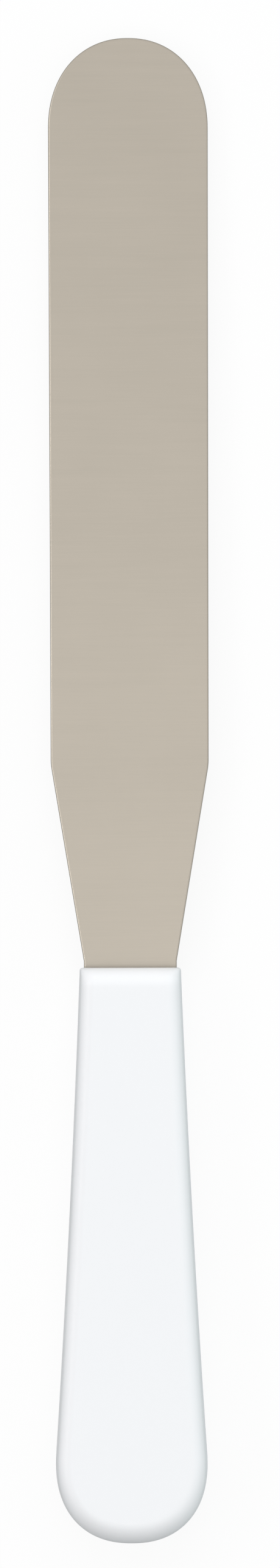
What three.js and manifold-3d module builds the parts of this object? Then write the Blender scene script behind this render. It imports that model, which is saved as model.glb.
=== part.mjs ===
// Icing spatula: a flexible stamped blade with a hidden tang, and a plastic handle moulded round the tang.
// Millimetres, +Z up, the tip towards +Y, lying on the flat underside of its handle.

import * as THREE from "three";
import { mergeVertices } from "three/addons/utils/BufferGeometryUtils.js";
import Module from "manifold-3d";

// Blade: an 8 in by 1 3/8 in stamping of stainless sheet
const BLADE_LENGTH = 203.2; // from the handle's front face to the tip
const BLADE_WIDTH = 34.9; // where the round tip begins
const SHOULDER_WIDTH = 34.5; // the sides draw in a little towards the shoulders
const SHEET_THICKNESS = 1.0;
const EDGE_RADIUS = 0.4; // rolled edge all round the stamping
const TIP_LENGTH = 19.8; // the tip is slightly fuller than a half ellipse
const TIP_FULLNESS = 2.15; // exponent of the tip's superellipse
const SHOULDER_RADIUS = 12;
const NECK_LENGTH = 44.4; // from the shoulders to the handle
const NECK_WIDTH = 20.3; // where the neck enters the handle
const NECK_PARALLEL = 1.5; // the neck's last stretch outside the handle, with parallel edges

// Tang, inside the handle
const BURIED_NECK = 6; // the neck's full width runs this far into the handle
const BURIED_CORNER_RADIUS = 1;
const TANG_WIDTH = 14;
const TANG_FILLET = 2;
const TANG_END_COVER = 40; // plastic between the tang's end and the butt
const LOCK_HOLE_DIAMETER = 5;
const LOCK_HOLE_PITCH = 24;
const LOCK_HOLE_MARGIN = 10; // from the buried shoulder to the first hole, and from the last to the end
const MOULD_GAP = 0.2; // between the steel and the plastic that is moulded round it

// Handle
const HANDLE_LENGTH = 125.8;
const FRONT_SIDE_WALL = 0.9; // plastic on each side of the neck at the front face
const BUTT_FLARE = 35.7; // width that the flared sides would reach at the very end
const FLARE_BOW = 0.31; // 0 is a straight flare, 1 is a parabola
const BUTT_LENGTH = 20; // the part of the handle's length that the round butt takes
const BUTT_FULLNESS = 2.24; // exponent of the butt's rounding in plan
const FRONT_THICKNESS = 14;
const BUTT_THICKNESS = 18; // the two flat faces open out towards the butt
const FRONT_CORNER_RADIUS = 0.6; // front corners, seen in plan
const FRONT_EDGE_RADIUS = 4.2; // front edge of each flat face
const SIDE_ROUND = 3; // radius of the rounding over each edge, along the sides
const BUTT_ROUND = 4.5; // and at the very end of the butt
const PARTING_LAND = 0.6; // least wall on each side of the mould's parting line
const WALL_LEAN = 8; // degrees that the crowned walls have turned in where the rounding begins

// Facets
const FRONT_STEPS = 6;
const SIDE_STEPS = 10;
const BUTT_STEPS = 14;
const WALL_STEPS = 3; // up a wall from the parting line
const ROUND_STEPS = 6; // over the rounding between a wall and a flat face
const TIP_STEPS = 22;
const ARC_STEPS = 6;
const EDGE_STEPS = 3;
const HOLE_STEPS = 10;

const QUARTER_TURN = Math.PI / 2;
const FRONT_WIDTH = NECK_WIDTH + 2 * FRONT_SIDE_WALL;
const TANG_LENGTH = HANDLE_LENGTH - TANG_END_COVER;

const wasm = await Module();
wasm.setup();

// A closed geometry as a solid for boolean work
function solidOf(geometry) {
  const bare = geometry.clone();
  bare.deleteAttribute("normal");
  bare.deleteAttribute("uv");
  const merged = mergeVertices(bare, 1e-4);
  return new wasm.Manifold(
    new wasm.Mesh({
      numProp: 3,
      vertProperties: merged.attributes.position.array,
      triVerts: new Uint32Array(merged.index.array),
    }),
  );
}

// A solid as a geometry
function geometryOf(solid) {
  const mesh = solid.getMesh();
  const geometry = new THREE.BufferGeometry();
  geometry.setAttribute("position", new THREE.BufferAttribute(mesh.vertProperties, 3));
  geometry.setIndex(new THREE.BufferAttribute(mesh.triVerts, 1));
  geometry.computeVertexNormals();
  return geometry;
}

// The points of an arc of the given radius that rounds the corner between two straight runs
function roundedCorner(before, corner, after, radius) {
  const inward = corner.clone().sub(before).normalize();
  const outward = after.clone().sub(corner).normalize();
  const turn = Math.atan2(inward.cross(outward), inward.dot(outward));
  const side = Math.sign(turn);
  const start = corner.clone().addScaledVector(inward, -radius * Math.tan(Math.abs(turn) / 2));
  const centre = new THREE.Vector2(-inward.y, inward.x).multiplyScalar(side * radius).add(start);
  const angle = Math.atan2(start.y - centre.y, start.x - centre.x);
  const arc = new THREE.EllipseCurve(centre.x, centre.y, radius, radius, angle, angle + turn, turn < 0);
  return arc.getPoints(ARC_STEPS);
}

// A superellipse's quarter from its side to its end, at a share of the turn: how far across and along it is
function superellipse(share, fullness) {
  const angle = QUARTER_TURN * share;
  const across = share === 1 ? 0 : Math.cos(angle) ** (2 / fullness);
  const along = Math.sin(angle) ** (2 / fullness);
  return { across, along };
}

// The right half of the root, from the tang's end up to the neck's parallel stretch ahead of the handle.
// With a clearance it is the outline of the socket that the root fills.
function rootOutline(clearance) {
  const tangHalf = TANG_WIDTH / 2 + clearance;
  const neckHalf = NECK_WIDTH / 2 + clearance;
  const shoulder = -BURIED_NECK - clearance;
  const endCentre = TANG_WIDTH / 2 - TANG_LENGTH;
  const end = new THREE.EllipseCurve(0, endCentre, tangHalf, tangHalf, -QUARTER_TURN, 0);
  const tangTop = new THREE.Vector2(tangHalf, endCentre);
  const inner = new THREE.Vector2(tangHalf, shoulder);
  const outer = new THREE.Vector2(neckHalf, shoulder);
  const top = new THREE.Vector2(neckHalf, NECK_PARALLEL);
  return [
    ...end.getPoints(2 * ARC_STEPS),
    ...roundedCorner(tangTop, inner, outer, TANG_FILLET - clearance),
    ...roundedCorner(inner, outer, top, BURIED_CORNER_RADIUS + clearance),
    top,
  ];
}

// The right half of the blade beyond the root: the neck's taper, the shoulder, the side and the tip
function exposedOutline() {
  const neck = new THREE.Vector2(NECK_WIDTH / 2, NECK_PARALLEL);
  const shoulder = new THREE.Vector2(SHOULDER_WIDTH / 2, NECK_LENGTH);
  const tipStart = new THREE.Vector2(BLADE_WIDTH / 2, BLADE_LENGTH - TIP_LENGTH);
  const points = roundedCorner(neck, shoulder, tipStart, SHOULDER_RADIUS);
  for (let i = 0; i <= TIP_STEPS; i += 1) {
    const { across, along } = superellipse(i / TIP_STEPS, TIP_FULLNESS);
    points.push(new THREE.Vector2(tipStart.x * across, tipStart.y + TIP_LENGTH * along));
  }
  return points;
}

// A closed shape from its right half, which starts on the centre line
function mirroredShape(rightHalf) {
  const left = rightHalf.filter((point) => point.x > 0).map((point) => new THREE.Vector2(-point.x, point.y));
  return new THREE.Shape([...rightHalf, ...left.reverse()]);
}

// Round holes along the tang, as many as fit between the margins
function addLockHoles(shape, radius) {
  const first = -BURIED_NECK - LOCK_HOLE_MARGIN;
  const last = LOCK_HOLE_MARGIN - TANG_LENGTH;
  const count = Math.floor((first - last) / LOCK_HOLE_PITCH) + 1;
  for (let i = 0; i < count; i += 1) {
    const hole = new THREE.EllipseCurve(0, first - i * LOCK_HOLE_PITCH, radius, radius, 0, 2 * Math.PI);
    shape.holes.push(new THREE.Path(hole.getPoints(2 * HOLE_STEPS).slice(1)));
  }
}

function bladeGeometry() {
  const shape = mirroredShape([...rootOutline(0), ...exposedOutline()]);
  addLockHoles(shape, LOCK_HOLE_DIAMETER / 2);
  const straight = SHEET_THICKNESS - 2 * EDGE_RADIUS;
  const geometry = new THREE.ExtrudeGeometry(shape, {
    depth: straight,
    bevelThickness: EDGE_RADIUS,
    bevelSize: EDGE_RADIUS,
    bevelOffset: -EDGE_RADIUS,
    bevelSegments: EDGE_STEPS,
  });
  return geometry.translate(0, 0, -straight / 2);
}

// What the moulding leaves open for the steel: the root with its clearance, less the keys in its lock holes
function socketGeometry() {
  const height = SHEET_THICKNESS + 2 * MOULD_GAP;
  const shape = mirroredShape(rootOutline(MOULD_GAP));
  addLockHoles(shape, LOCK_HOLE_DIAMETER / 2 - MOULD_GAP);
  const geometry = new THREE.ExtrudeGeometry(shape, { depth: height, bevelEnabled: false });
  return geometry.translate(0, 0, -height / 2);
}

// How far a quarter round of this radius has drawn in at a distance from the front face
function frontEasing(distance, radius) {
  const reach = Math.max(0, 1 - distance / radius);
  return radius * (1 - Math.sqrt(1 - reach * reach));
}

// Half of the handle's thickness at a distance from the front face
function halfThickness(distance) {
  const slope = (BUTT_THICKNESS - FRONT_THICKNESS) / 2 / HANDLE_LENGTH;
  return FRONT_THICKNESS / 2 + slope * distance - frontEasing(distance, FRONT_EDGE_RADIUS);
}

// The handle's right-hand outline in plan: x is the half width, y the distance from the front face
function handleOutline() {
  const buttStart = HANDLE_LENGTH - BUTT_LENGTH;
  const stations = [];
  for (let i = 0; i < FRONT_STEPS; i += 1) {
    const distance = FRONT_EDGE_RADIUS * (1 - Math.cos((QUARTER_TURN * i) / FRONT_STEPS));
    stations.push({ distance, rounding: 1 });
  }
  for (let i = 0; i < SIDE_STEPS; i += 1) {
    const distance = FRONT_EDGE_RADIUS + ((buttStart - FRONT_EDGE_RADIUS) * i) / SIDE_STEPS;
    stations.push({ distance, rounding: 1 });
  }
  for (let i = 0; i <= BUTT_STEPS; i += 1) {
    const { across, along } = superellipse(i / BUTT_STEPS, BUTT_FULLNESS);
    stations.push({ distance: buttStart + BUTT_LENGTH * along, rounding: across });
  }
  return stations.map(({ distance, rounding }) => {
    const share = distance / HANDLE_LENGTH;
    const flare = (BUTT_FLARE - FRONT_WIDTH) * ((1 - FLARE_BOW) * share + FLARE_BOW * share * share);
    const half = (FRONT_WIDTH + flare) / 2 - frontEasing(distance, FRONT_CORNER_RADIUS);
    return new THREE.Vector2(half * rounding, distance);
  });
}

// Outward direction of the outline in plan: square to the axis along the flare, turning round the butt
function outwardAt(outline, index) {
  const last = outline.length - 1;
  const here = outline[index];
  const before = outline[Math.max(index - 1, 0)];
  const mirrored = new THREE.Vector2(-outline[last - 1].x, outline[last - 1].y);
  const after = index === last ? mirrored : outline[index + 1];
  const turned = Math.max(0, before.x - after.x);
  const run = Math.max(after.y - before.y, 0);
  return here.x > 0 ? new THREE.Vector2(run, turned).normalize() : new THREE.Vector2(0, 1);
}

// One ring round the handle: crowned walls up and down from the parting line, a rounding over each edge, and
// the two flat faces
function handleRing(outline, index) {
  const waist = outline[index];
  const outward = outwardAt(outline, index);
  const lean = THREE.MathUtils.degToRad(WALL_LEAN);
  const full = halfThickness(waist.y);
  const radius = Math.min(SIDE_ROUND + (BUTT_ROUND - SIDE_ROUND) * outward.y, full - PARTING_LAND);
  const wall = full - radius * (1 - Math.sin(lean));
  const crown = (wall * Math.tan(lean)) / 2;
  const upper = [];
  for (let i = 1; i < WALL_STEPS; i += 1) {
    const share = i / WALL_STEPS;
    const inset = crown * share * share;
    upper.push(new THREE.Vector3(waist.x - inset * outward.x, inset * outward.y - waist.y, wall * share));
  }
  for (let i = 0; i <= ROUND_STEPS; i += 1) {
    const angle = lean + ((QUARTER_TURN - lean) * i) / ROUND_STEPS;
    const inset = crown + radius * (Math.cos(lean) - Math.cos(angle));
    const distance = waist.y - inset * outward.y;
    const height = halfThickness(distance) - radius * (1 - Math.sin(angle));
    upper.push(new THREE.Vector3(waist.x - inset * outward.x, -distance, height));
  }
  const lower = upper.map((point) => new THREE.Vector3(point.x, point.y, -point.z));
  const right = [...lower.reverse(), new THREE.Vector3(waist.x, -waist.y, 0), ...upper];
  const left = right.map((point) => new THREE.Vector3(-point.x, point.y, point.z));
  return [...right, ...left.reverse()];
}

// A closed skin over rings of equal length: the first ring is capped, the last one has folded flat
function skinOf(rings) {
  const size = rings[0].length;
  const triangles = [];
  for (let i = 0; i + 1 < rings.length; i += 1) {
    for (let j = 0; j < size; j += 1) {
      const next = (j + 1) % size;
      triangles.push(rings[i][j], rings[i + 1][next], rings[i + 1][j]);
      triangles.push(rings[i][j], rings[i][next], rings[i + 1][next]);
    }
  }
  const middle = new THREE.Vector3(0, rings[0][0].y, 0);
  for (let j = 0; j < size; j += 1) {
    triangles.push(middle, rings[0][(j + 1) % size], rings[0][j]);
  }
  return new THREE.BufferGeometry().setFromPoints(triangles);
}

function handleGeometry() {
  const outline = handleOutline();
  const rings = outline.map((_, index) => handleRing(outline, index));
  return geometryOf(solidOf(skinOf(rings)).subtract(solidOf(socketGeometry())));
}

const satinSteel = new THREE.MeshStandardMaterial({ color: 0xbcb5a8, roughness: 0.38, metalness: 1 });
const whitePlastic = new THREE.MeshStandardMaterial({ color: 0xf4f6f7, roughness: 0.35, metalness: 0 });

const blade = new THREE.Mesh(bladeGeometry(), satinSteel);
blade.name = "blade";
const handle = new THREE.Mesh(handleGeometry(), whitePlastic);
handle.name = "handle";

// Turned by the taper of the flat faces, so that the underside lies level, and set over the origin
const spatula = new THREE.Group();
spatula.add(blade, handle);
spatula.rotation.x = -Math.atan2((BUTT_THICKNESS - FRONT_THICKNESS) / 2, HANDLE_LENGTH);
const box = new THREE.Box3().setFromObject(spatula, true);
const middle = box.getCenter(new THREE.Vector3());
spatula.position.set(-middle.x, -middle.y, -box.min.z);

export default spatula;
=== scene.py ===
"""An icing spatula: a satin steel blade whose tang is moulded into a flared white plastic handle.

Metres, +Z up, the tip towards +Y. The spatula lies on the flat underside of its handle, seen from above.
"""
import math

import bmesh
import bpy
import numpy as np
from mathutils import Matrix, Vector


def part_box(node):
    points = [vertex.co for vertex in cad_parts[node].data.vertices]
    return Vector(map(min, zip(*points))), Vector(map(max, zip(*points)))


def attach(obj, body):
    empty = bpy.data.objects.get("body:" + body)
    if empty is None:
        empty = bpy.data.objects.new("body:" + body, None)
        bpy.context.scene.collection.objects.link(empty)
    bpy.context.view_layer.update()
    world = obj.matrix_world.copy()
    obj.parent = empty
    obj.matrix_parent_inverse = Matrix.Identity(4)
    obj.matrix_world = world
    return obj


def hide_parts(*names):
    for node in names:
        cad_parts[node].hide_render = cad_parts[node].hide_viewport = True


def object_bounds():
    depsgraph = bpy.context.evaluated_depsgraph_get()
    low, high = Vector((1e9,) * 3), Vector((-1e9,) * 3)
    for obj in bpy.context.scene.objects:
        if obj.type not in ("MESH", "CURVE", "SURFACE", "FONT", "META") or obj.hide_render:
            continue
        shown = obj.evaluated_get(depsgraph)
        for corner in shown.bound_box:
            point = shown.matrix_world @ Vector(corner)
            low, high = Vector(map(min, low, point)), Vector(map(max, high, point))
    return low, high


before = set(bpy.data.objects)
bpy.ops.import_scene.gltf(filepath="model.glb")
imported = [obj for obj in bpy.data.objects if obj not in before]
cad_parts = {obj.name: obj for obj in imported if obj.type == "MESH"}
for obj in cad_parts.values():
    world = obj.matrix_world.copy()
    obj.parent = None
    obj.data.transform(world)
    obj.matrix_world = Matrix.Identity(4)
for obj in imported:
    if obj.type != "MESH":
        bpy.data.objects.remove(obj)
cad_low, cad_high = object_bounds()

MM = 0.001
MICRON = 1e-6
QUARTER = math.pi / 2

# Blade
BLADE_LENGTH = 203.2 * MM
BLADE_WIDTH = 34.9 * MM
SHOULDER_WIDTH = 34.5 * MM
SHEET_THICKNESS = 1.0 * MM
EDGE_RADIUS = 0.4 * MM
TIP_LENGTH = 19.8 * MM
TIP_FULLNESS = 2.15
SHOULDER_RADIUS = 12 * MM
NECK_LENGTH = 44.4 * MM
NECK_WIDTH = 20.3 * MM
NECK_PARALLEL = 1.5 * MM

# Tang
BURIED_NECK = 6 * MM
BURIED_CORNER_RADIUS = 1 * MM
TANG_WIDTH = 14 * MM
TANG_FILLET = 2 * MM
TANG_END_COVER = 40 * MM
LOCK_HOLE_DIAMETER = 5 * MM
LOCK_HOLE_PITCH = 24 * MM
LOCK_HOLE_MARGIN = 10 * MM
LOCK_PIN_HEIGHT = 4 * SHEET_THICKNESS  # the cutting pins stand clear of both faces
MOULD_GAP = 0.06 * MM  # the plastic shrinks on to the steel

# Handle
HANDLE_LENGTH = 125.8 * MM
FRONT_SIDE_WALL = 0.9 * MM
BUTT_FLARE = 35.7 * MM
FLARE_BOW = 0.31
BUTT_LENGTH = 20 * MM
BUTT_FULLNESS = 2.24
FRONT_THICKNESS = 14 * MM
BUTT_THICKNESS = 18 * MM
FRONT_CORNER_RADIUS = 0.6 * MM
FRONT_EDGE_RADIUS = 4.2 * MM
SIDE_ROUND = 3.0 * MM
BUTT_ROUND = 4.5 * MM
PARTING_LAND = 0.6 * MM
WALL_LEAN = math.radians(8)
FLASH_HEIGHT = 0.05 * MM  # fine raised line where the two halves of the mould met
FLASH_WIDTH = 0.25 * MM
FLASH_REACH = 0.35 * MM  # where the raised line has died away, up the wall

FRONT_WIDTH = NECK_WIDTH + 2 * FRONT_SIDE_WALL
TANG_LENGTH = HANDLE_LENGTH - TANG_END_COVER
TAPER = math.atan2((BUTT_THICKNESS - FRONT_THICKNESS) / 2, HANDLE_LENGTH)

# Fineness of the meshes
ARC_STEPS = 16
PIN_STEPS = 48
TIP_STEPS = 96
EDGE_STEPS = 8
FRONT_STEPS = 24
CORNER_STEPS = 8
FLARE_STEPS = 60
BUTT_STEPS = 80
FLASH_STEPS = 10
WALL_STEPS = 8
ROUND_STEPS = 28
FLAT_MARGIN = 0.004  # share of a flat face beside each edge, which keeps the shading of the rest flat
FRONT_MARGIN = 0.015  # and the same round the front face
CREASE_ANGLE = math.radians(35)
MERGE_DISTANCE = 1e-7

# Satin steel, with noise cells to the metre: the grain is long across the blade and fine along it
STEEL_DARK = (0.410, 0.373, 0.317, 1.0)
STEEL_LIGHT = (0.496, 0.449, 0.383, 1.0)
JUNCTION_SHADE = (0.39, 0.355, 0.305, 1.0)  # painted shade: a faint dark line where the blade enters the handle, standing in for the contact shadow there
JUNCTION_SHADE_REACH = 0.9 * MM
GRAIN_CELLS = (90, 5200, 90)
STREAK_CELLS = (24, 620, 24)
SHEEN_CELLS = (38, 38, 38)
GRAIN_TONE = 0.40
STREAK_TONE = 0.18
SHEEN_TONE = 0.42
STEEL_ROUGHNESS = 0.34
GRAIN_ROUGHNESS = 0.05
STREAK_ROUGHNESS = 0.05
GRAIN_RELIEF = 1.12 * MICRON
STREAK_RELIEF = 0.48 * MICRON
GRAIN_BREAKUP = 0.6  # weight of the grain's finer octaves

# White plastic, with noise cells to the metre: the flow clouds are drawn out along the handle
PLASTIC_DARK = (0.894, 0.902, 0.920, 1.0)
PLASTIC_LIGHT = (0.919, 0.927, 0.945, 1.0)
FLOW_CELLS = (42, 18.9, 42)
SPECKLE_CELLS = (2600, 2600, 2600)
SKIN_CELLS = (180, 180, 180)
FLOW_TONE = 0.7
SPECKLE_TONE = 0.3
PLASTIC_ROUGHNESS = 0.30
FLOW_ROUGHNESS = 0.12
SPECKLE_ROUGHNESS = 0.06
SKIN_RELIEF = 4.8 * MICRON
SPECKLE_RELIEF = 1.2 * MICRON
PLASTIC_IOR = 1.49
PLASTIC_SPECULAR = 0.45

FINE_DETAIL = 3.0  # octaves of the noise in the grain, the sheen and the flow clouds

# Studio, with the softboxes' places and sizes in metres and their powers in watts
WHITE = (1.0, 1.0, 1.0, 1.0)
WORLD_LEVEL = 0.48
FLOOR_PALE = (0.325, 0.35, 0.35, 1.0)  # the floor as it throws light back and in reflections
FLOOR_SEEN = (0.95, 0.95, 0.95, 1.0)  # and as the camera sees it
FLOOR_SHADE = 0.10  # share of the floor's shading that the camera sees, where the rest is plain white
FLOOR_MIRRORED = 0.30  # share of plain white in the floor that is reflected, which stays deeper
FADE_START = 0.25  # from here to the end of the fade, the floor turns to plain white
FADE_END = 1.0
FLOOR_HALF = 3.0
FLOOR_DROP = 0.1 * MM
NEUTRAL = (1.0, 1.0, 1.0)
COOL = (0.87, 1.0, 1.0)
SOFTBOXES = {
    "tip_softbox": {
        "place": (-0.20, 2.46, 1.72),
        "size": (3.0, 2.2),
        "power": 47.0,
        "tint": NEUTRAL,
        "mirrored": False,
    },
    "left_softbox": {
        "place": (-0.81, 0.0, 0.74),
        "size": (1.2, 0.35),
        "power": 2.85,
        "tint": NEUTRAL,
        "mirrored": True,
    },
    "right_softbox": {
        "place": (1.03, 0.0, 0.32),
        "size": (1.2, 0.35),
        "power": 3.35,
        "tint": COOL,
        "mirrored": False,
    },
    "handle_softbox": {
        "place": (0.0, -0.45, 1.25),
        "size": (1.0, 0.8),
        "power": 1.5,
        "tint": NEUTRAL,
        "mirrored": True,
    },
}
CAMERA_DISTANCE = 2.4
SENSOR_HEIGHT = 36.0  # in millimetres, as the lens is

# Where the spatula lies in the photograph, in pixels of its 460 by 2576 frame
PHOTO_SIZE = (460, 2576)
TIP_ROW = 62.6
BUTT_ROW = 2535.2
AXIS_AT_TIP = 209.5
AXIS_AT_BUTT = 216.9


def placed(points):
    """Points drawn from the handle's front face, with the blade level, moved to where the CAD has them.

    Turned about X by the taper of the flat faces, so that the underside lies level, then lifted by half
    of the front thickness and moved along Y until the tip meets the end of the CAD blade.
    """
    turn = np.array(Matrix.Rotation(-TAPER, 3, "X"))
    straight_edge = SHEET_THICKNESS / 2 - EDGE_RADIUS
    reach = BLADE_LENGTH * math.cos(TAPER) + straight_edge * math.sin(TAPER)
    shift = np.array([0.0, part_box("blade")[1].y - reach, FRONT_THICKNESS / 2 * math.cos(TAPER)])
    return np.asarray(points, float) @ turn.T + shift


def arc(centre, radius, start, end, steps=ARC_STEPS):
    """Points of a circle's arc between two angles, as rows of x and y."""
    angle = np.linspace(start, end, steps + 1)
    return np.column_stack([centre[0] + radius * np.cos(angle), centre[1] + radius * np.sin(angle)])


def superellipse(fullness, steps):
    """A quarter of a superellipse from its side to its end, as shares of its half width and its length.

    At an angle of up to a quarter turn they are cos(angle) and sin(angle), each to the power 2 / fullness.
    """
    angle = np.linspace(0, QUARTER, steps + 1)
    return np.cos(angle) ** (2 / fullness), np.sin(angle) ** (2 / fullness)


def root_outline(clearance):
    """Right half of the tang and buried neck: a half round end, an inner fillet and an outer corner."""
    tang = TANG_WIDTH / 2 + clearance
    neck = NECK_WIDTH / 2 + clearance
    step = -BURIED_NECK - clearance
    fillet = TANG_FILLET - clearance
    corner = BURIED_CORNER_RADIUS + clearance
    end = TANG_WIDTH / 2 - TANG_LENGTH
    return np.vstack([
        arc((0, end), tang, -QUARTER, 0),
        arc((tang + fillet, step - fillet), fillet, math.pi, QUARTER),
        arc((neck - corner, step + corner), corner, -QUARTER, 0),
        [(neck, NECK_PARALLEL)],
    ])


def exposed_outline():
    """Right half of the blade in view: a tapered neck, an eased shoulder, a side and a round tip."""
    neck = np.array([NECK_WIDTH / 2, NECK_PARALLEL])
    shoulder = np.array([SHOULDER_WIDTH / 2, NECK_LENGTH])
    tip = np.array([BLADE_WIDTH / 2, BLADE_LENGTH - TIP_LENGTH])
    rise = math.atan2(shoulder[1] - neck[1], shoulder[0] - neck[0])
    side = math.atan2(tip[1] - shoulder[1], tip[0] - shoulder[0])
    eased = SHOULDER_RADIUS * math.tan((side - rise) / 2)
    start = shoulder - eased * np.array([math.cos(rise), math.sin(rise)])
    centre = start + SHOULDER_RADIUS * np.array([-math.sin(rise), math.cos(rise)])
    ease = arc(centre, SHOULDER_RADIUS, rise - QUARTER, side - QUARTER)
    across, along = superellipse(TIP_FULLNESS, TIP_STEPS)
    round_tip = np.column_stack([tip[0] * across, tip[1] + TIP_LENGTH * along])
    return np.vstack([ease, round_tip])


def outward_of(outline):
    """Unit outward directions of a right-hand outline, whose ends are taken to lie on the centre line."""
    mirror = np.array([-1, 1])
    padded = np.vstack([outline[1] * mirror, outline, outline[-2] * mirror])
    along = padded[2:] - padded[:-2]
    square = np.column_stack([along[:, 1], -along[:, 0]])
    return square / np.linalg.norm(square, axis=1, keepdims=True)


def ring_grid(right):
    """Whole rings from right-hand edge curves, running from the lower flat face to the upper one.

    Each ring goes up the right edge, over the upper face, down the mirrored left edge and back below.
    Each flat face has one point close to each of its edges.
    """
    left = right[:, ::-1] * np.array([-1, 1, 1])
    share = np.array([FLAT_MARGIN, 1 - FLAT_MARGIN])[None, :, None]
    over = right[:, -1:] * (1 - share) + left[:, :1] * share
    under = left[:, -1:] * (1 - share) + right[:, :1] * share
    return np.concatenate([right, over, left, under], axis=1)


def grid_faces(rings, size):
    """Quads between neighbouring rings of a grid, each ring closed on itself."""
    ring, spot = np.meshgrid(np.arange(rings - 1), np.arange(size), indexing="ij")
    after = (spot + 1) % size
    this = ring * size
    following = this + size
    quads = np.stack([this + spot, this + after, following + after, following + spot], axis=-1)
    return quads.reshape(-1, 4).tolist()


def clean(mesh):
    """Merge a mesh's doubled points, remove its flattened faces and turn its normals outwards."""
    work = bmesh.new()
    work.from_mesh(mesh)
    bmesh.ops.remove_doubles(work, verts=work.verts, dist=MERGE_DISTANCE)
    bmesh.ops.dissolve_degenerate(work, dist=MERGE_DISTANCE, edges=work.edges)
    bmesh.ops.recalc_face_normals(work, faces=work.faces)
    work.to_mesh(mesh)
    work.free()


def mesh_from(name, points, faces):
    """A clean mesh from an array of points and a list of faces."""
    mesh = bpy.data.meshes.new(name)
    mesh.from_pydata(points.tolist(), [], faces)
    clean(mesh)
    return mesh


def piece_from(name, mesh):
    """An object at the origin that shows a mesh."""
    piece = bpy.data.objects.new(name, mesh)
    bpy.context.scene.collection.objects.link(piece)
    return piece


def ringed_piece(name, rings, capped):
    """A piece from a grid of rings, with a face over its first ring where that is open."""
    faces = grid_faces(*rings.shape[:2])
    if capped:
        faces.append(list(range(rings.shape[1])))
    return piece_from(name, mesh_from(name, placed(rings.reshape(-1, 3)), faces))


def cut(piece, tool):
    """Cut one piece by another with an exact boolean, and delete the tool."""
    modifier = piece.modifiers.new("cut", "BOOLEAN")
    modifier.operation = "DIFFERENCE"
    modifier.solver = "EXACT"
    modifier.object = tool
    evaluated = piece.evaluated_get(bpy.context.evaluated_depsgraph_get())
    mesh = bpy.data.meshes.new_from_object(evaluated)
    clean(mesh)
    piece.modifiers.clear()
    piece.data = mesh
    bpy.data.objects.remove(tool)


def prism(name, outline, height):
    """A closed outline carried straight up and down by half of the height."""
    count = len(outline)
    low = np.column_stack([outline, np.full(count, -height / 2)])
    high = np.column_stack([outline, np.full(count, height / 2)])
    ring = np.arange(count)
    after = (ring + 1) % count
    walls = np.column_stack([ring, after, after + count, ring + count]).tolist()
    faces = walls + [ring[::-1].tolist(), (ring + count).tolist()]
    return piece_from(name, mesh_from(name, placed(np.vstack([low, high])), faces))


def lock_pins(radius):
    """Round pins at the tang's lock holes, as many as fit between the margins."""
    circle = arc((0, 0), radius, 0, math.tau, PIN_STEPS)[:-1]
    first = -BURIED_NECK - LOCK_HOLE_MARGIN
    last = LOCK_HOLE_MARGIN - TANG_LENGTH
    places = np.arange(first, last, -LOCK_HOLE_PITCH)
    return [prism("lock_pin", circle + np.array([0, place]), LOCK_PIN_HEIGHT) for place in places]


def rolled_sheet(outline, outward, clearance):
    """Rings of the sheet, grown by a clearance: a half round along the edge, between two flat faces.

    At a turn t of the half round, the edge lies radius * (1 - cos t) inside the outline and
    radius * sin t beyond the straight part of the sheet's thickness.
    """
    radius = EDGE_RADIUS + clearance
    upper = np.linspace(0, QUARTER, EDGE_STEPS + 1)
    inset = radius * (1 - np.cos(upper))
    rise = SHEET_THICKNESS / 2 - EDGE_RADIUS + radius * np.sin(upper)
    inset = np.concatenate([inset[::-1], inset])
    height = np.concatenate([-rise[::-1], rise])
    plan = outline[:, None, :] - outward[:, None, :] * inset[None, :, None]
    return ring_grid(np.dstack([plan, np.broadcast_to(height, plan.shape[:2])]))


def make_blade():
    """The stamping: its whole outline with the rolled edge, and the lock holes punched in its tang."""
    outline = np.vstack([root_outline(0), exposed_outline()])
    rings = rolled_sheet(outline, outward_of(outline), 0)
    blade = ringed_piece("spatula_blade", rings, capped=False)
    for pin in lock_pins(LOCK_HOLE_DIAMETER / 2):
        cut(blade, pin)
    return blade


def eased_steps(radius, steps):
    """Distances behind the front face at even turns of a quarter round."""
    return radius * (1 - np.cos(np.linspace(0, QUARTER, steps + 1)))


def front_easing(distance, radius):
    """How far a quarter round has drawn in at a distance behind the front face."""
    reach = np.maximum(0, 1 - distance / radius)
    return radius * (1 - np.sqrt(1 - reach * reach))


def half_thickness(distance):
    """Half of the handle's thickness: a straight taper between the flat faces, eased at the front edge."""
    slope = (BUTT_THICKNESS - FRONT_THICKNESS) / 2 / HANDLE_LENGTH
    return FRONT_THICKNESS / 2 + slope * distance - front_easing(distance, FRONT_EDGE_RADIUS)


def handle_outline():
    """Right half of the handle in plan, as half width and distance behind the front face.

    The flare is front + (butt - front) * ((1 - bow) * share + bow * share ** 2), and over the butt it is
    rounded off by a superellipse.
    """
    butt_start = HANDLE_LENGTH - BUTT_LENGTH
    edge = eased_steps(FRONT_EDGE_RADIUS, FRONT_STEPS)
    corner = eased_steps(FRONT_CORNER_RADIUS, CORNER_STEPS)
    sides = np.linspace(FRONT_EDGE_RADIUS, butt_start, FLARE_STEPS + 1)[1:-1]
    across, along = superellipse(BUTT_FULLNESS, BUTT_STEPS)
    distance = np.concatenate([np.union1d(edge, corner), sides, butt_start + BUTT_LENGTH * along])
    rounding = np.ones(len(distance))
    rounding[-len(across):] = across
    share = distance / HANDLE_LENGTH
    flare = (BUTT_FLARE - FRONT_WIDTH) * ((1 - FLARE_BOW) * share + FLARE_BOW * share**2)
    half = (FRONT_WIDTH + flare) / 2 - front_easing(distance, FRONT_CORNER_RADIUS)
    return np.column_stack([half * rounding, distance])


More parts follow.
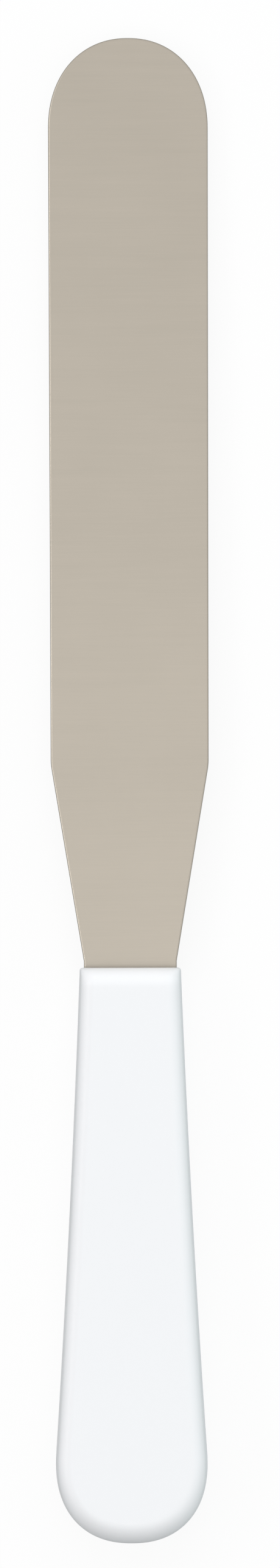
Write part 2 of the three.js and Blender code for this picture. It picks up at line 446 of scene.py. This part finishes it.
def handle_outward(outline):
    """Outward directions in plan: square to the axis along the flare, turning with the butt's outline."""
    square = outward_of(outline)
    turned = np.column_stack([np.abs(square[:, 0]), np.maximum(square[:, 1], 0)])
    turned[0] = (1, 0)
    turned[-1] = (0, 1)
    return turned / np.linalg.norm(turned, axis=1, keepdims=True)


def handle_skin():
    """The moulding's outside: crowned walls, a rounding over each edge and the two flat faces.

    Up a wall, the skin draws in by crown * (height / wall) ** 2, and a narrow bell curve raises the
    parting line. The crown is half of wall * tan lean, so that the wall runs smoothly into the rounding.
    From there, at a turn t of the rounding, the skin lies radius * (cos lean - cos t) further in, and
    radius * (1 - sin t) below the flat face there.
    """
    outline = handle_outline()
    outward = handle_outward(outline)
    full = half_thickness(outline[:, 1:])
    radius = np.minimum(SIDE_ROUND + (BUTT_ROUND - SIDE_ROUND) * outward[:, 1:], full - PARTING_LAND)
    wall = full - radius * (1 - math.sin(WALL_LEAN))
    crown = wall * math.tan(WALL_LEAN) / 2
    flash = np.tile(np.linspace(0, FLASH_REACH, FLASH_STEPS + 1), (len(outline), 1))
    plain = FLASH_REACH + (wall - FLASH_REACH) * np.linspace(0, 1, WALL_STEPS + 1)[1:-1]
    up = np.hstack([flash, plain])
    bell = np.exp(-((up / (FLASH_WIDTH / 2)) ** 2))
    turn = np.linspace(WALL_LEAN, QUARTER, ROUND_STEPS + 1)
    wall_inset = crown * (up / wall) ** 2 + FLASH_HEIGHT * (1 - bell)
    round_inset = crown + FLASH_HEIGHT + radius * (math.cos(WALL_LEAN) - np.cos(turn))
    inset = np.hstack([wall_inset, round_inset])
    plan = outline[:, None, :] - outward[:, None, :] * inset[:, :, None]
    over = half_thickness(plan[:, up.shape[1]:, 1]) - radius * (1 - np.sin(turn))
    upper = np.dstack([plan[..., 0], -plan[..., 1], np.hstack([up, over])])
    lower = upper[:, :0:-1] * np.array([1, 1, -1])
    return ring_grid(np.hstack([lower, upper]))


def make_handle():
    """The moulding, closed at its front face, with the socket that the tang fills cut into it."""
    skin = handle_skin()
    front = skin[:1] * np.array([1 - FRONT_MARGIN, 1, 1 - FRONT_MARGIN])
    skin = np.concatenate([front, skin])
    handle = ringed_piece("spatula_handle", skin, capped=True)
    outline = root_outline(MOULD_GAP)
    outward = outward_of(outline)
    outward[-1] = (1, 0)  # the root ends between the parallel sides of the neck
    root = rolled_sheet(outline, outward, MOULD_GAP)
    socket = ringed_piece("socket", root[::-1], capped=True)
    for pin in lock_pins(LOCK_HOLE_DIAMETER / 2 - MOULD_GAP):
        cut(socket, pin)
    cut(handle, socket)
    return handle


class Value:
    """A socket of a node tree that takes part in Python expressions."""

    def __init__(self, tree, socket):
        self.tree = tree
        self.socket = socket

    def node(self, kind, settings=None, inputs=None, output=0):
        """A node of any type: its settings first, then the values or links of its sockets."""
        made = self.tree.nodes.new(kind)
        for name, value in (settings or {}).items():
            setattr(made, name, value)
        for name, value in (inputs or {}).items():
            if isinstance(value, Value):
                self.tree.links.new(value.socket, made.inputs[name])
            else:
                made.inputs[name].default_value = value
        return Value(self.tree, made.outputs[output])

    def math(self, operation, first, second):
        """A Math node on two values or numbers."""
        return self.node("ShaderNodeMath", {"operation": operation}, {0: first, 1: second})

    def __add__(self, other):
        return self.math("ADD", self, other)

    def __radd__(self, other):
        return self.math("ADD", other, self)

    def __sub__(self, other):
        return self.math("SUBTRACT", self, other)

    def __rsub__(self, other):
        return self.math("SUBTRACT", other, self)

    def __mul__(self, other):
        return self.math("MULTIPLY", self, other)

    def __rmul__(self, other):
        return self.math("MULTIPLY", other, self)

    def stretched(self, factors):
        """A vector with each of its parts multiplied."""
        return self.node("ShaderNodeVectorMath", {"operation": "MULTIPLY"}, {0: self, 1: factors})

    def along(self, axis):
        """One part of a vector: 0 is x, 1 is y, 2 is z."""
        return self.node("ShaderNodeSeparateXYZ", {}, {0: self}, axis)

    def length(self):
        """The length of a vector."""
        return self.node("ShaderNodeVectorMath", {"operation": "LENGTH"}, {0: self}, 1)

    def noise(self, cells, detail=2.0, roughness=0.5):
        """Soft noise about 0.5, read at this vector, with so many cells to the metre on each axis."""
        inputs = {"Vector": self.stretched(cells), "Scale": 1.0, "Detail": detail, "Roughness": roughness}
        return self.node("ShaderNodeTexNoise", {}, inputs)

    def ramp(self, start, end):
        """0 before the start and 1 after the end, with an eased step between them."""
        inputs = {"Value": self, "From Min": start, "From Max": end}
        return self.node("ShaderNodeMapRange", {"interpolation_type": "SMOOTHSTEP"}, inputs)

    def between(self, low, high):
        """A colour between two colours, with this value as the share."""
        return self.node("ShaderNodeMix", {"data_type": "RGBA"}, {0: self, 6: low, 7: high}, 2)

    def bump(self):
        """A normal from this value as a height in metres."""
        return self.node("ShaderNodeBump", {}, {"Height": self, "Distance": 1.0})


def principled(name, constants):
    """A material, its Principled shader with the constant sockets set, and its Object coordinates."""
    material = bpy.data.materials.new(name)
    material.use_nodes = True
    tree = material.node_tree
    shader = tree.nodes["Principled BSDF"]
    for socket, value in constants.items():
        shader.inputs[socket].default_value = value
    coordinates = tree.nodes.new("ShaderNodeTexCoord")
    return material, shader, Value(tree, coordinates.outputs["Object"])


def feed(shader, **values):
    """Link values to the shader's sockets, named with underscores for spaces."""
    for name, value in values.items():
        value.tree.links.new(value.socket, shader.inputs[name.replace("_", " ")])


def satin_steel():
    """Stainless sheet with a fine grain across the blade, faint broader streaks and a cloudy sheen."""
    material, shader, place = principled("satin_steel", {"Metallic": 1.0})
    grain = place.noise(GRAIN_CELLS, detail=FINE_DETAIL, roughness=GRAIN_BREAKUP)
    streak = place.noise(STREAK_CELLS)
    sheen = place.noise(SHEEN_CELLS, detail=FINE_DETAIL)
    tone = grain * GRAIN_TONE + streak * STREAK_TONE + sheen * SHEEN_TONE
    # Painted shade: within a short reach of the handle's front face the blade's colour darkens to a dark
    # line, standing in for the contact shadow where the blade enters the handle.
    front = placed([(0, 0, 0)])[0, 1]
    clear = place.along(1).ramp(front, front + JUNCTION_SHADE_REACH)
    feed(
        shader,
        Base_Color=clear.between(JUNCTION_SHADE, tone.between(STEEL_DARK, STEEL_LIGHT)),
        Roughness=STEEL_ROUGHNESS + grain * GRAIN_ROUGHNESS + streak * STREAK_ROUGHNESS,
        Normal=(grain * GRAIN_RELIEF + streak * STREAK_RELIEF).bump(),
    )
    return material


def white_plastic():
    """Moulded plastic: an even white with faint flow clouds, a soft gloss and a slightly uneven skin."""
    constants = {"Metallic": 0.0, "IOR": PLASTIC_IOR, "Specular IOR Level": PLASTIC_SPECULAR}
    material, shader, place = principled("white_plastic", constants)
    flow = place.noise(FLOW_CELLS, detail=FINE_DETAIL)
    speckle = place.noise(SPECKLE_CELLS)
    skin = place.noise(SKIN_CELLS)
    tone = flow * FLOW_TONE + speckle * SPECKLE_TONE
    feed(
        shader,
        Base_Color=tone.between(PLASTIC_DARK, PLASTIC_LIGHT),
        Roughness=PLASTIC_ROUGHNESS + flow * FLOW_ROUGHNESS + speckle * SPECKLE_ROUGHNESS,
        Normal=(skin * SKIN_RELIEF + speckle * SPECKLE_RELIEF).bump(),
    )
    return material


def rays_that_see(tree):
    """Two masks: 1 on rays from the camera, and 1 on rays from reflections and through glass.

    Both are 0 on the rays that carry light between surfaces.
    """
    path = tree.nodes.new("ShaderNodeLightPath")
    names = ("Is Camera Ray", "Is Glossy Ray", "Is Transmission Ray")
    camera, glossy, through = [Value(tree, path.outputs[name]) for name in names]
    return camera, camera.math("MINIMUM", glossy + through, 1.0)


def make_world():
    """White where it is seen, and an even soft light elsewhere."""
    world = bpy.data.worlds.new("studio")
    bpy.context.scene.world = world
    world.use_nodes = True
    tree = world.node_tree
    tree.nodes.clear()
    camera, mirrored = rays_that_see(tree)
    mask = camera + mirrored
    light = mask.node("ShaderNodeBackground", {}, {"Color": WHITE, "Strength": WORLD_LEVEL})
    white = mask.node("ShaderNodeBackground", {}, {"Color": WHITE, "Strength": 1.0})
    both = mask.node("ShaderNodeMixShader", {}, {0: mask, 1: light, 2: white})
    output = tree.nodes.new("ShaderNodeOutputWorld")
    tree.links.new(both.socket, output.inputs["Surface"])


def make_floor():
    """A pale floor under the handle.

    The camera sees it mostly as plain white, so that a faint shadow stays, and as all white further out.
    """
    corners = np.array([(-1, -1, 0), (1, -1, 0), (1, 1, 0), (-1, 1, 0)]) * FLOOR_HALF
    corners[:, 2] = cad_low.z - FLOOR_DROP
    mesh = bpy.data.meshes.new("floor")
    mesh.from_pydata(corners.tolist(), [], [[0, 1, 2, 3]])
    floor = piece_from("floor", mesh)
    material = bpy.data.materials.new("pale_floor")
    material.use_nodes = True
    tree = material.node_tree
    tree.nodes.clear()
    camera, mirrored = rays_that_see(tree)
    coordinates = tree.nodes.new("ShaderNodeTexCoord")
    near = 1 - Value(tree, coordinates.outputs["Object"]).length().ramp(FADE_START, FADE_END)
    share = camera * (1 - near * FLOOR_SHADE) + mirrored * FLOOR_MIRRORED
    matte = share.node("ShaderNodeBsdfDiffuse", {}, {"Color": camera.between(FLOOR_PALE, FLOOR_SEEN)})
    white = share.node("ShaderNodeEmission", {}, {"Color": WHITE, "Strength": 1.0})
    both = share.node("ShaderNodeMixShader", {}, {0: share, 1: matte, 2: white})
    output = tree.nodes.new("ShaderNodeOutputMaterial")
    tree.links.new(both.socket, output.inputs["Surface"])
    floor.data.materials.append(material)


def make_softbox(name, place, size, power, tint, mirrored):
    """A rectangular softbox that faces the middle of the spatula, shown by reflections or not."""
    data = bpy.data.lights.new(name, "AREA")
    data.shape = "RECTANGLE"
    data.size, data.size_y = size
    data.energy = power
    data.color = tint
    lamp = bpy.data.objects.new(name, data)
    lamp.location = place
    lamp.rotation_euler = (-Vector(place)).to_track_quat("-Z", "Y").to_euler()
    lamp.visible_camera = False
    lamp.visible_glossy = mirrored
    bpy.context.scene.collection.objects.link(lamp)


def make_camera():
    """A long lens square to the blade, framed and rolled so that tip and butt fall on their pixels."""
    rows = BUTT_ROW - TIP_ROW
    columns = AXIS_AT_BUTT - AXIS_AT_TIP
    pixel = (BLADE_LENGTH + HANDLE_LENGTH) / math.hypot(rows, columns)
    right = PHOTO_SIZE[0] / 2 - (AXIS_AT_TIP + AXIS_AT_BUTT) / 2
    up = (TIP_ROW + BUTT_ROW) / 2 - PHOTO_SIZE[1] / 2
    data = bpy.data.cameras.new("photo_camera")
    data.sensor_fit = "VERTICAL"
    data.sensor_height = SENSOR_HEIGHT
    data.lens = SENSOR_HEIGHT * CAMERA_DISTANCE / (PHOTO_SIZE[1] * pixel)
    camera = bpy.data.objects.new("photo_camera", data)
    middle = placed([(0, (BLADE_LENGTH - HANDLE_LENGTH) / 2, 0)])[0]
    turned = Matrix.Rotation(-TAPER, 4, "X") @ Matrix.Rotation(-math.atan2(columns, rows), 4, "Z")
    drawn_back = Matrix.Translation((right * pixel, up * pixel, CAMERA_DISTANCE))
    camera.matrix_world = Matrix.Translation(middle) @ turned @ drawn_back
    bpy.context.scene.collection.objects.link(camera)
    bpy.context.scene.camera = camera


def dress(piece, node, material):
    """Let a piece stand for its CAD node, with its finish and with creases kept crisp."""
    piece.data.materials.clear()
    piece.data.materials.append(material)
    piece.data.polygons.foreach_set("use_smooth", np.ones(len(piece.data.polygons), bool))
    piece.data.set_sharp_from_angle(angle=CREASE_ANGLE)
    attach(piece, "root")
    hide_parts(node)


bpy.context.scene.view_settings.view_transform = "Standard"
make_world()
make_floor()
for softbox, settings in SOFTBOXES.items():
    make_softbox(softbox, **settings)
make_camera()
dress(make_blade(), "blade", satin_steel())
dress(make_handle(), "handle", white_plastic())
